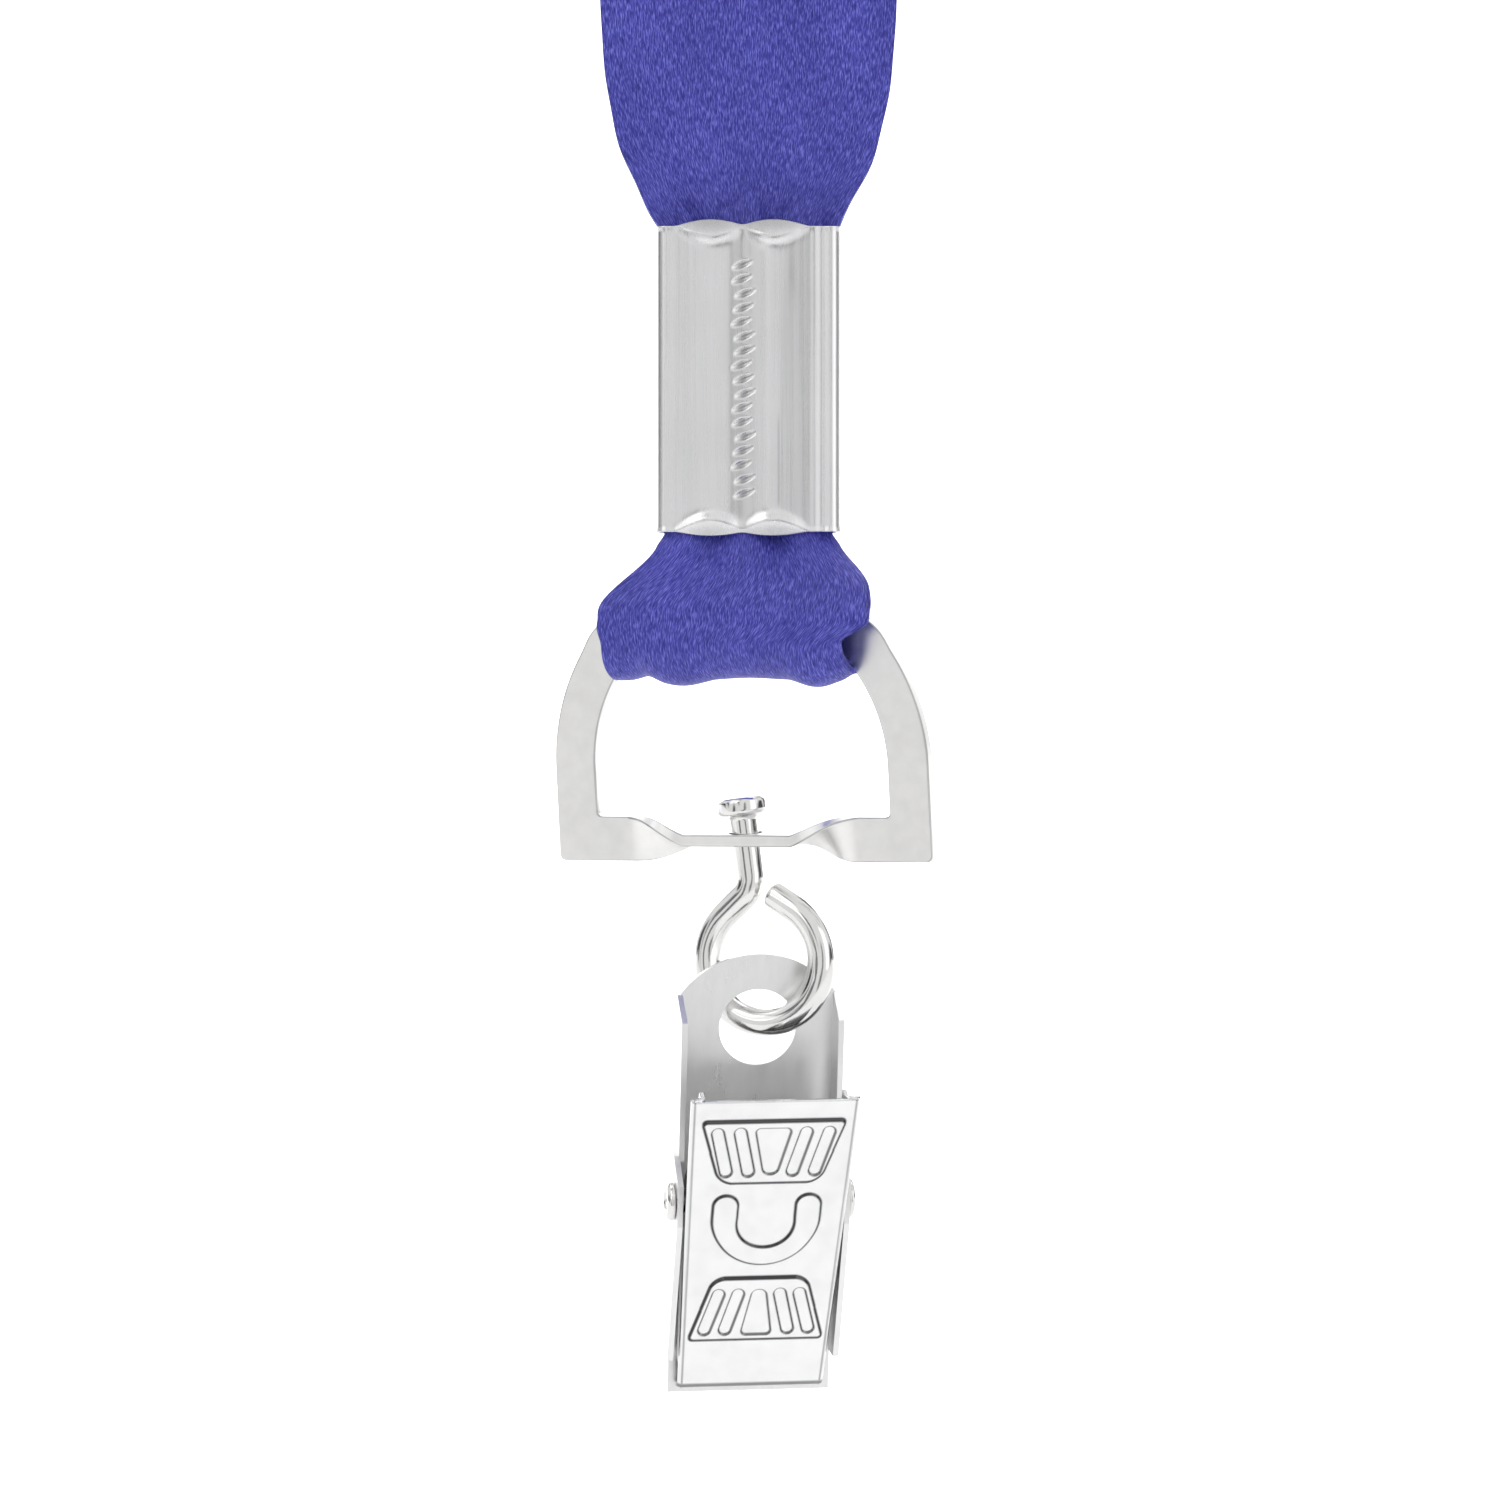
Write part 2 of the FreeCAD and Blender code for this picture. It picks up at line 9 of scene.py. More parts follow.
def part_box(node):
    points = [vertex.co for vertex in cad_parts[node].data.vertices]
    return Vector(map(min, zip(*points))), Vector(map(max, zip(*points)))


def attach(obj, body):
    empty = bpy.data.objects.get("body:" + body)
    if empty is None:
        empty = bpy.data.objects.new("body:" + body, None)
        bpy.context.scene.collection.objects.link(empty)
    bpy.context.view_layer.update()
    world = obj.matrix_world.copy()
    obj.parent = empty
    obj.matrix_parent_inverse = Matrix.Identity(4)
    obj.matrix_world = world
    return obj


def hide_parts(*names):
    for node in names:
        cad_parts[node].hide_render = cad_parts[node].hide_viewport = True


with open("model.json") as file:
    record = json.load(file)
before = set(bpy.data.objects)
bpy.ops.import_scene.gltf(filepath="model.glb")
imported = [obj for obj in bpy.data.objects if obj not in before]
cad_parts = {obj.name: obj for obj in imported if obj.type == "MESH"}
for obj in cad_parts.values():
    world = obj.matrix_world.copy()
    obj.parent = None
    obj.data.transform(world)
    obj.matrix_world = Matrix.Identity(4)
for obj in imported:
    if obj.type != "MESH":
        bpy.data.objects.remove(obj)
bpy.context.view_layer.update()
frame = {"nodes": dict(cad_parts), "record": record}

MM = 0.001
CAMERA_PLACE = (0.1, -600.0, -425.1)
LIGHT_AIM = (0, 0, -0.425)

# Rest pose of the tilted metal parts, in degrees
STIRRUP_YAW = -27.0
CLIP_YAW = 10.0
CLIP_PITCH = 13.0
CLIP_ROLL = -0.8
LEVER_ANGLE = 17.5

JOINTS = {joint["name"]: joint for joint in frame["record"]["behaviour"]["joints"]}
BAR = Vector(JOINTS["stirrup_swing"]["pos_m"]) / MM
PIVOT = Vector(JOINTS["jaw_open"]["pos_m"]) / MM
CRIMP_LOW, CRIMP_HIGH = [Vector(corner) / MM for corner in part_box("crimp_ferrule")]


# ---------------------------------------------------------------- camera and light


def make_camera():
    """Level with the stirrup, straight at the front, from about an arm's length."""
    data = bpy.data.cameras.new("camera")
    data.lens = 216.0
    data.sensor_width = 36.0
    data.clip_start = 0.01
    camera = bpy.data.objects.new("camera", data)
    camera.location = Vector(CAMERA_PLACE) * MM
    camera.rotation_euler = (math.radians(90), 0, 0)
    bpy.context.collection.objects.link(camera)
    bpy.context.scene.camera = camera


def area_light(name, place, size, power):
    """A soft rectangular light turned towards the clip end of the lanyard."""
    data = bpy.data.lights.new(name, "AREA")
    data.shape = "RECTANGLE"
    data.size, data.size_y = size
    data.energy = power
    light = bpy.data.objects.new(name, data)
    light.location = place
    aim = Vector(LIGHT_AIM) - Vector(place)
    light.rotation_euler = aim.to_track_quat("-Z", "Y").to_euler()
    bpy.context.collection.objects.link(light)


def make_backdrop():
    """One pale sheet: a level floor that sweeps up into a wall well behind the lanyard."""
    half_wide = 7.0
    front_edge = -0.30
    wall_top = 5.0
    level = -0.62
    bend = 1.2
    wall = 5.0
    profile = [(front_edge, level), (wall - bend, level)]
    steps = 24
    for step in range(1, steps + 1):
        angle = math.pi / 2 * step / steps
        profile.append((wall - bend + bend * math.sin(angle), level + bend * (1 - math.cos(angle))))
    profile.append((wall, wall_top))
    corners = []
    for y, z in profile:
        corners.append((-half_wide, y, z))
        corners.append((half_wide, y, z))
    faces = []
    for index in range(len(profile) - 1):
        low = 2 * index
        faces.append((low, low + 1, low + 3, low + 2))
    mesh = bpy.data.meshes.new("backdrop")
    mesh.from_pydata(corners, [], faces)
    backdrop = bpy.data.objects.new("backdrop", mesh)
    bpy.context.collection.objects.link(backdrop)
    material, tree, shader = new_material("backdrop_glow")
    shader.inputs["Base Color"].default_value = (0.95, 0.95, 0.95, 1)
    shader.inputs["Roughness"].default_value = 0.95
    shader.inputs["Specular IOR Level"].default_value = 0.05
    shader.inputs["Emission Color"].default_value = (1, 1, 1, 1)
    place = tree.nodes.new("ShaderNodeTexCoord").outputs["Object"]
    parts = tree.nodes.new("ShaderNodeSeparateXYZ")
    tree.links.new(place, parts.inputs["Vector"])
    # painted light: the sheet glows of itself, faint at its front and brighter towards the wall
    glow_towards_wall = tree.nodes.new("ShaderNodeMapRange")
    glow_towards_wall.inputs["From Min"].default_value = 0.15
    glow_towards_wall.inputs["From Max"].default_value = 1.60
    glow_towards_wall.inputs["To Min"].default_value = 0.10
    glow_towards_wall.inputs["To Max"].default_value = 0.85
    tree.links.new(parts.outputs["Y"], glow_towards_wall.inputs["Value"])
    tree.links.new(glow_towards_wall.outputs["Result"], shader.inputs["Emission Strength"])
    mesh.materials.append(material)
    for face in mesh.polygons:
        face.use_smooth = True


def make_room_light():
    """A pale room for reflections and soft light, with grey bands and a dark flag at each side."""
    world = bpy.data.worlds.new("studio")
    bpy.context.scene.world = world
    world.use_nodes = True
    nodes = world.node_tree.nodes
    links = world.node_tree.links
    nodes.clear()
    output = nodes.new("ShaderNodeOutputWorld")
    shade = nodes.new("ShaderNodeBackground")
    shade.inputs["Strength"].default_value = 0.97
    where = nodes.new("ShaderNodeTexCoord")
    bands = nodes.new("ShaderNodeTexNoise")
    bands.inputs["Scale"].default_value = 2.2
    bands.inputs["Detail"].default_value = 0.0
    stretch = nodes.new("ShaderNodeMapping")
    stretch.inputs["Scale"].default_value = (1.5, 1.5, 0.6)
    ramp = nodes.new("ShaderNodeValToRGB")
    ramp.color_ramp.elements[0].position = 0.37
    ramp.color_ramp.elements[0].color = (0.13, 0.13, 0.135, 1)
    ramp.color_ramp.elements[1].position = 0.46
    ramp.color_ramp.elements[1].color = (0.84, 0.84, 0.845, 1)
    links.new(where.outputs["Generated"], stretch.inputs["Vector"])
    links.new(stretch.outputs["Vector"], bands.inputs["Vector"])
    links.new(bands.outputs["Fac"], ramp.inputs["Fac"])
    parts = nodes.new("ShaderNodeSeparateXYZ")
    links.new(where.outputs["Generated"], parts.inputs["Vector"])
    sideways = nodes.new("ShaderNodeMath")
    sideways.operation = "ABSOLUTE"
    links.new(parts.outputs["X"], sideways.inputs[0])
    flags = nodes.new("ShaderNodeMapRange")
    flags.inputs["From Min"].default_value = 0.955
    flags.inputs["From Max"].default_value = 0.975
    links.new(sideways.outputs["Value"], flags.inputs["Value"])
    flagged = nodes.new("ShaderNodeMix")
    flagged.data_type = "RGBA"
    flagged.inputs["B"].default_value = (0.06, 0.06, 0.065, 1)
    links.new(flags.outputs["Result"], flagged.inputs["Factor"])
    links.new(ramp.outputs["Color"], flagged.inputs["A"])
    links.new(flagged.outputs["Result"], shade.inputs["Color"])
    links.new(shade.outputs["Background"], output.inputs["Surface"])


def make_stage():
    make_backdrop()
    make_room_light()
    area_light("key", (-0.9, -1.0, 0.35), (1.1, 1.1), 3.6)
    area_light("fill", (1.1, -0.8, -0.2), (0.8, 1.2), 1.5)
    area_light("wall_wash", (0.0, 0.1, 0.9), (1.6, 0.6), 3.4)
    bpy.context.scene.view_settings.view_transform = "Standard"


# ---------------------------------------------------------------- materials


def new_material(name):
    material = bpy.data.materials.new(name)
    material.use_nodes = True
    tree = material.node_tree
    return material, tree, tree.nodes["Principled BSDF"]


def stretched_noise(tree, source, scale, detail=2.0, turn=0.0):
    """Noise whose grain is scaled along each axis of a coordinate output."""
    mapping = tree.nodes.new("ShaderNodeMapping")
    mapping.inputs["Scale"].default_value = scale
    mapping.inputs["Rotation"].default_value = (0, 0, turn)
    texture = tree.nodes.new("ShaderNodeTexNoise")
    texture.inputs["Scale"].default_value = 1.0
    texture.inputs["Detail"].default_value = detail
    tree.links.new(source, mapping.inputs["Vector"])
    tree.links.new(mapping.outputs["Vector"], texture.inputs["Vector"])
    return texture.outputs["Fac"]


def ramp_between(tree, value, stops):
    ramp = tree.nodes.new("ShaderNodeValToRGB")
    for index, (position, colour) in enumerate(stops):
        if index < 2:
            stop = ramp.color_ramp.elements[index]
            stop.position = position
        else:
            stop = ramp.color_ramp.elements.new(position)
        stop.color = (*colour, 1)
    tree.links.new(value, ramp.inputs["Fac"])
    return ramp.outputs["Color"]


def spread(tree, value, low, high):
    node = tree.nodes.new("ShaderNodeMapRange")
    node.inputs["To Min"].default_value = low
    node.inputs["To Max"].default_value = high
    tree.links.new(value, node.inputs["Value"])
    return node.outputs["Result"]


def add_bump(tree, shader, height, strength, distance, under=None):
    bump = tree.nodes.new("ShaderNodeBump")
    bump.inputs["Strength"].default_value = strength
    bump.inputs["Distance"].default_value = distance
    tree.links.new(height, bump.inputs["Height"])
    if under is not None:
        tree.links.new(under, bump.inputs["Normal"])
    tree.links.new(bump.outputs["Normal"], shader.inputs["Normal"])
    return bump.outputs["Normal"]


def satin_material():
    """Blue satin: fine floating threads along the ribbon, with short light and dark flecks."""
    material, tree, shader = new_material("satin")
    uv = tree.nodes.new("ShaderNodeTexCoord").outputs["UV"]
    threads = stretched_noise(tree, uv, (12.0, 1.2, 1.0), 3.0, math.radians(4))
    flecks = stretched_noise(tree, uv, (15.0, 2.4, 1.0), 1.0, math.radians(-3))
    clouds = stretched_noise(tree, uv, (0.30, 0.12, 1.0), 2.0)
    mixed = tree.nodes.new("ShaderNodeMath")
    mixed.operation = "MULTIPLY_ADD"
    mixed.inputs[1].default_value = 0.5
    tree.links.new(threads, mixed.inputs[0])
    half = tree.nodes.new("ShaderNodeMath")
    half.operation = "MULTIPLY"
    half.inputs[1].default_value = 0.5
    tree.links.new(flecks, half.inputs[0])
    tree.links.new(half.outputs["Value"], mixed.inputs[2])
    colour = ramp_between(
        tree,
        mixed.outputs["Value"],
        (
            (0.38, (0.024, 0.024, 0.25)),
            (0.50, (0.064, 0.065, 0.44)),
            (0.62, (0.20, 0.205, 0.76)),
        ),
    )
    # painted shade: broad soft patches from slow noise, up to a fifth darker, for the shading of the gathers
    painted_shade_patches = ramp_between(tree, clouds, ((0.35, (0.80, 0.80, 0.86)), (0.65, (1.0, 1.0, 1.0))))
    shade = tree.nodes.new("ShaderNodeMix")
    shade.data_type = "RGBA"
    shade.blend_type = "MULTIPLY"
    shade.inputs["Factor"].default_value = 1.0
    tree.links.new(colour, shade.inputs["A"])
    tree.links.new(painted_shade_patches, shade.inputs["B"])
    tree.links.new(shade.outputs["Result"], shader.inputs["Base Color"])
    tree.links.new(spread(tree, flecks, 0.34, 0.62), shader.inputs["Roughness"])
    shader.inputs["Specular IOR Level"].default_value = 0.35
    shader.inputs["Sheen Weight"].default_value = 0.12
    shader.inputs["Sheen Roughness"].default_value = 0.4
    shader.inputs["Sheen Tint"].default_value = (0.5, 0.5, 1.0, 1)
    add_bump(tree, shader, mixed.outputs["Value"], 0.40, 0.00012)
    return material


def metal_material(name, colour, rough, grain, grain_strength, mottle=0.02):
    """Plated metal: a fine grain along one axis, and slow changes of gloss and tone."""
    material, tree, shader = new_material(name)
    place = tree.nodes.new("ShaderNodeTexCoord").outputs["Object"]
    lines = stretched_noise(tree, place, grain, 4.0)
    patches = stretched_noise(tree, place, (260.0, 260.0, 260.0), 3.0)
    low = tuple(channel * 0.93 for channel in colour)
    mean = tree.nodes.new("ShaderNodeMath")
    mean.operation = "MULTIPLY_ADD"
    mean.inputs[1].default_value = 0.6
    tree.links.new(lines, mean.inputs[0])
    share = tree.nodes.new("ShaderNodeMath")
    share.operation = "MULTIPLY"
    share.inputs[1].default_value = 0.4
    tree.links.new(patches, share.inputs[0])
    tree.links.new(share.outputs["Value"], mean.inputs[2])
    base = ramp_between(tree, mean.outputs["Value"], ((0.35, low), (0.6, colour)))
    tree.links.new(base, shader.inputs["Base Color"])
    shader.inputs["Metallic"].default_value = 1.0
    tree.links.new(spread(tree, lines, rough * 0.7, rough * 1.35), shader.inputs["Roughness"])
    under = add_bump(tree, shader, lines, grain_strength, 0.00003)
    add_bump(tree, shader, patches, mottle, 0.0004, under)
    return material


def paint_step_shade(material, attribute):
    """Painted shade: a thin dark line mixed into the base colour wherever a point attribute marks stamped
    steps and bends.
    """
    tree = material.node_tree
    shader = tree.nodes["Principled BSDF"]
    before = shader.inputs["Base Color"].links[0].from_socket
    line = tree.nodes.new("ShaderNodeAttribute")
    line.attribute_name = attribute
    mix = tree.nodes.new("ShaderNodeMix")
    mix.data_type = "RGBA"
    mix.inputs["B"].default_value = (0.06, 0.06, 0.06, 1)
    tree.links.new(line.outputs["Fac"], mix.inputs["Factor"])
    tree.links.new(before, mix.inputs["A"])
    tree.links.new(mix.outputs["Result"], shader.inputs["Base Color"])


# ---------------------------------------------------------------- mesh tools


def link_mesh(name, mesh, material):
    """A smooth-shaded object that holds the mesh and wears the material."""
    piece = bpy.data.objects.new(name, mesh)
    bpy.context.collection.objects.link(piece)
    mesh.materials.append(material)
    for face in mesh.polygons:
        face.use_smooth = True
    return piece


def grid(name, rows, columns, point, material, wrap=False):
    """A surface of rows by columns points; point(row share, column share) gives mm and a UV in mm."""
    mesh = bpy.data.meshes.new(name)
    spots = []
    uvs = []
    for row in range(rows):
        for column in range(columns):
            share = column / columns if wrap else column / (columns - 1)
            place, uv = point(row / (rows - 1), share)
            spots.append(Vector(place) * MM)
            uvs.append(uv)
    faces = []
    for row in range(rows - 1):
        for column in range(columns if wrap else columns - 1):
            after = (column + 1) % columns
            faces.append(
                (
                    row * columns + column,
                    row * columns + after,
                    (row + 1) * columns + after,
                    (row + 1) * columns + column,
                )
            )
    mesh.from_pydata(spots, [], faces)
    layer = mesh.uv_layers.new(name="UVMap")
    for loop in mesh.loops:
        layer.data[loop.index].uv = uvs[loop.vertex_index]
    return link_mesh(name, mesh, material)


def thicken(piece, thickness, offset=0.0):
    """Give a surface its thickness in mm: offset 0 shares it between both sides, -1 keeps the outer face."""
    shell = piece.modifiers.new("thickness", "SOLIDIFY")
    shell.thickness = thickness * MM
    shell.offset = offset


def smoothstep(value):
    """0 below 0, 1 above 1, and a smooth rise between."""
    value = min(1.0, max(0.0, value))
    return value * value * (3 - 2 * value)


def bump_at(value, centre, half_width):
    """1 at the centre, falling smoothly to 0 at half_width."""
    away = abs(value - centre) / half_width
    return math.cos(away * math.pi / 2) ** 2 if away < 1 else 0.0


# ---------------------------------------------------------------- ribbon

RIBBON_HALF = 10.0
RIBBON_THICK = 0.38
GATHER_DEPTH = 4.1
GATHER_REACH = 5.2
NECK_HALF_ROUTE = (
    (-0.6, -390.3),
    (-2.4, -363.0),
    (-9.8, -312.0),
    (-30.8, -223.0),
    (-56.6, -134.0),
    (-77.5, -68.5),
    (-62.0, -25.5),
    (-23.5, 0.0),
)


def neck_line():
    """The neck loop's line as points in mm, read from one NURBS spline through its control points."""
    front = [(0.0, y, z) for y, z in NECK_HALF_ROUTE]
    back = [(0.0, -y, z) for y, z in reversed(NECK_HALF_ROUTE)]
    route = front + back
    data = bpy.data.curves.new("neck_route", "CURVE")
    data.dimensions = "3D"
    spline = data.splines.new("NURBS")
    spline.points.add(len(route) - 1)
    for knot, place in zip(spline.points, route):
        knot.co = (*(Vector(place) * MM), 1.0)
    spline.order_u = 3
    spline.use_endpoint_u = True
    data.resolution_u = 40
    holder = bpy.data.objects.new("neck_route", data)
    traced = bpy.data.meshes.new_from_object(holder)
    line = [vertex.co / MM for vertex in traced.vertices]
    bpy.data.meshes.remove(traced)
    bpy.data.objects.remove(holder)
    bpy.data.curves.remove(data)
    return line


def walk(line):
    """Distances along the line, and a function from a distance to its place and direction."""
    marks = [0.0]
    for before, after in zip(line, line[1:]):
        marks.append(marks[-1] + (after - before).length)

    def at(distance):
        low, high = 1, len(marks) - 1
        while low < high:
            middle = (low + high) // 2
            if marks[middle] < distance:
                low = middle + 1
            else:
                high = middle
        before, after = line[low - 1], line[low]
        share = (distance - marks[low - 1]) / (marks[low] - marks[low - 1])
        return before.lerp(after, share), (after - before).normalized()

    return marks[-1], at


def gathered_half_width(above):
    """Half the ribbon's width at a height above the crimp."""
    return RIBBON_HALF - GATHER_DEPTH * math.exp(-((max(above, 0.0) / GATHER_REACH) ** 1.15))


def pleats(across, above):
    """Depth of the gathers that run up from the crimp."""
    fade = math.exp(-max(above, 0.0) / 5.5)
    ridges = 0.30 * math.cos(9.3 * across + 0.7) + 0.16 * math.cos(17.0 * across - 1.1)
    return fade * ridges


def make_neck_loop(material):
    """The ribbon from the crimp, round the neck and back, its two ends gathered into the crimp's mouth."""
    line = neck_line()
    length, at = walk(line)
    tuck = 2.0
    whole = length + 2 * tuck
    rows = 700
    columns = 49
    row_crowding = 0.115

    def point(share, across_share):
        # rows crowd towards both ends, where the gathers are
        eased = share - row_crowding * math.sin(2 * math.pi * share)
        along = eased * whole - tuck
        above = min(along, length - along)
        place, heading = at(min(max(along, 0.001), length - 0.001))
        if along < 0:
            place = place + heading * along
        elif along > length:
            place = place + heading * (along - length)
        across = 2 * across_share - 1
        half = gathered_half_width(above)
        fade = math.exp(-max(above, 0.0) / 5.0)
        wobble = 0.16 * math.sin(1.3 * above + (2.0 if across > 0 else 0.4)) * fade * abs(across) ** 3
        outward = Vector((1, 0, 0)).cross(heading)
        depth = pleats(across, above) - 0.55 * fade * across ** 4
        depth += 0.75 * math.exp(-max(above, 0.0) / 7.0)
        depth += 0.10 * math.sin(along / 23.0 + 1.4 * across)
        edge = (half + wobble) * across
        spot = place + Vector((edge, 0, 0)) - outward * depth
        return spot, (across * RIBBON_HALF, along)

    piece = grid("satin_neck_loop", rows, columns, point, material)
    thicken(piece, RIBBON_THICK)
    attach(piece, "lanyard")
    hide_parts("strap_neck_loop")


FOLD_HEIGHT = CRIMP_LOW.z - BAR.z


def fold_half_width(height, radius):
    """Half the folded end's width at a height above the bar, narrowed where the stirrup's shoulders pass."""
    below = FOLD_HEIGHT - height
    full = 5.45 + 0.45 * smoothstep(below / 1.0) + 4.05 * smoothstep((below - 0.5) / 4.8)
    shoulder = math.sqrt((ARCH_RADIUS - 2 * ARM_HALF) ** 2 - (ARCH_DROP - radius) ** 2) - 0.2
    return full + (shoulder - full) * smoothstep((1.2 - height) / 1.7)


def hem_wave(across):
    """The uneven lower edge of the fold."""
    dips = 0.42 * bump_at(across, -0.45, 0.30) + 0.55 * bump_at(across, 0.68, 0.26)
    rises = 0.30 * bump_at(across, -0.74, 0.18) + 0.15 * bump_at(across, 0.1, 0.4)
    return rises - dips + 0.45 * bump_at(across, 1.0, 0.14)


def make_fold(name, node, radius, top_depth, material):
    """One ply of the ribbon's end, down from the crimp, under the bar and up behind it."""
    into_crimp = 1.4
    top = FOLD_HEIGHT + into_crimp
    leg = top
    arc = math.pi * radius
    total = 2 * leg + arc

    def point(share, across_share):
        across = 2 * across_share - 1
        along = share * total
        if along < leg:
            drop = along / leg
            height = top * (1 - drop)
            side = -1.0
            depth = -(top_depth + (radius - top_depth) * smoothstep(drop * 1.15))
            depth -= 0.30 * math.sin(math.pi * drop)
        elif along > leg + arc:
            drop = (total - along) / leg
            height = top * (1 - drop)
            side = 1.0
            depth = top_depth + (radius - top_depth) * smoothstep(drop * 1.15)
            depth += 0.30 * math.sin(math.pi * drop)
        else:
            turn = (along - leg) / radius
            height = -radius * math.sin(turn)
            depth = -radius * math.cos(turn)
            side = -math.cos(turn)
        below = FOLD_HEIGHT - height
        crease = math.exp(-max(below, 0.0) / 3.0)
        dents = -0.85 * bump_at(across, -0.42, 0.32) - 0.85 * bump_at(across, 0.30, 0.32)
        ridges = 0.22 * math.cos(8.1 * (across + 0.05)) + dents
        depth += side * ridges * crease
        ripple = noise.noise(Vector((across * 2.4, along * 0.22, radius)))
        depth += side * 0.22 * ripple * smoothstep(below / 3.0)
        low = smoothstep((1.5 - height) / 3.5)
        rise = hem_wave(across) * low * 0.9
        half = fold_half_width(height, radius)
        yaw = math.radians(STIRRUP_YAW) * smoothstep(below / 5.5)
        shift = BAR.x * smoothstep(below / 6.0)
        edge_curl = -side * 0.35 * abs(across) ** 6 * (1 - low)
        # the front of the fold lies a little to the right of its back
        slide = -0.75 * side * smoothstep(below / 4.0) * smoothstep((height + 0.5) / 2.0)
        if side > 0:
            half -= (3.0 if across > 0 else 0.5) * smoothstep(below / 3.0) * smoothstep(side * 1.2)
        flat = Vector((half * across + slide, depth + edge_curl, 0))
        flat.rotate(Matrix.Rotation(yaw, 3, "Z"))
        spot = Vector((shift, BAR.y, BAR.z + height + rise)) + flat
        return spot, (across * RIBBON_HALF, along)

    piece = grid(name, 200, 90, point, material)
    thicken(piece, RIBBON_THICK)
    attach(piece, "lanyard")
    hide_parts(node)


def make_crimped_plies(material):
    """The four flattened plies inside the crimp, just short of its mouths."""
    ply_count = 4
    ply_pitch = 1.02
    ply_width = 10.8
    ply_thick = 0.9
    end_gap = 1.0
    plies = bpy.data.meshes.new("satin_crimped_plies")
    builder = bmesh.new()
    for index in range(ply_count):
        depth = (index - (ply_count - 1) / 2) * ply_pitch
        made = bmesh.ops.create_cube(builder, size=1.0)
        for vertex in made["verts"]:
            vertex.co.x *= ply_width * MM
            vertex.co.y = (vertex.co.y * ply_thick + depth) * MM
            height = CRIMP_HIGH.z - CRIMP_LOW.z - end_gap
            vertex.co.z = (vertex.co.z * height + (CRIMP_HIGH.z + CRIMP_LOW.z) / 2) * MM
    builder.to_mesh(plies)
    builder.free()
    layer = plies.uv_layers.new(name="UVMap")
    for loop in plies.loops:
        place = plies.vertices[loop.vertex_index].co / MM
        layer.data[loop.index].uv = (place.x, place.z)
    piece = link_mesh("satin_crimped_plies", plies, material)
    rounding = piece.modifiers.new("soft_edges", "BEVEL")
    rounding.width = 0.25 * MM
    rounding.segments = 3
    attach(piece, "lanyard")
    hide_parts("strap_crimped_plies")


# ---------------------------------------------------------------- crimp


def rounded_rectangle(share, half_x, half_y, corner):
    """Point and outward direction on a rounded rectangle, by share of its length from its front's middle."""
    straight_x = half_x - corner
    straight_y = half_y - corner
    quarter = math.pi * corner / 2
    runs = [
        (straight_x, "side", Vector((0, -half_y)), Vector((1, 0))),
        (quarter, "turn", Vector((straight_x, -straight_y)), -90),
        (2 * straight_y, "side", Vector((half_x, -straight_y)), Vector((0, 1))),
        (quarter, "turn", Vector((straight_x, straight_y)), 0),
        (2 * straight_x, "side", Vector((straight_x, half_y)), Vector((-1, 0))),
        (quarter, "turn", Vector((-straight_x, straight_y)), 90),
        (2 * straight_y, "side", Vector((-half_x, straight_y)), Vector((0, -1))),
        (quarter, "turn", Vector((-straight_x, -straight_y)), 180),
        (straight_x, "side", Vector((-straight_x, -half_y)), Vector((1, 0))),
    ]
    left = share * sum(run[0] for run in runs)
    for length, kind, start, way in runs:
        if left <= length:
            break
        left -= length
    if kind == "side":
        return start + way * left, Vector((way.y, -way.x))
    angle = math.radians(way) + left / corner
    outward = Vector((math.cos(angle), math.sin(angle)))
    return start + outward * corner, outward


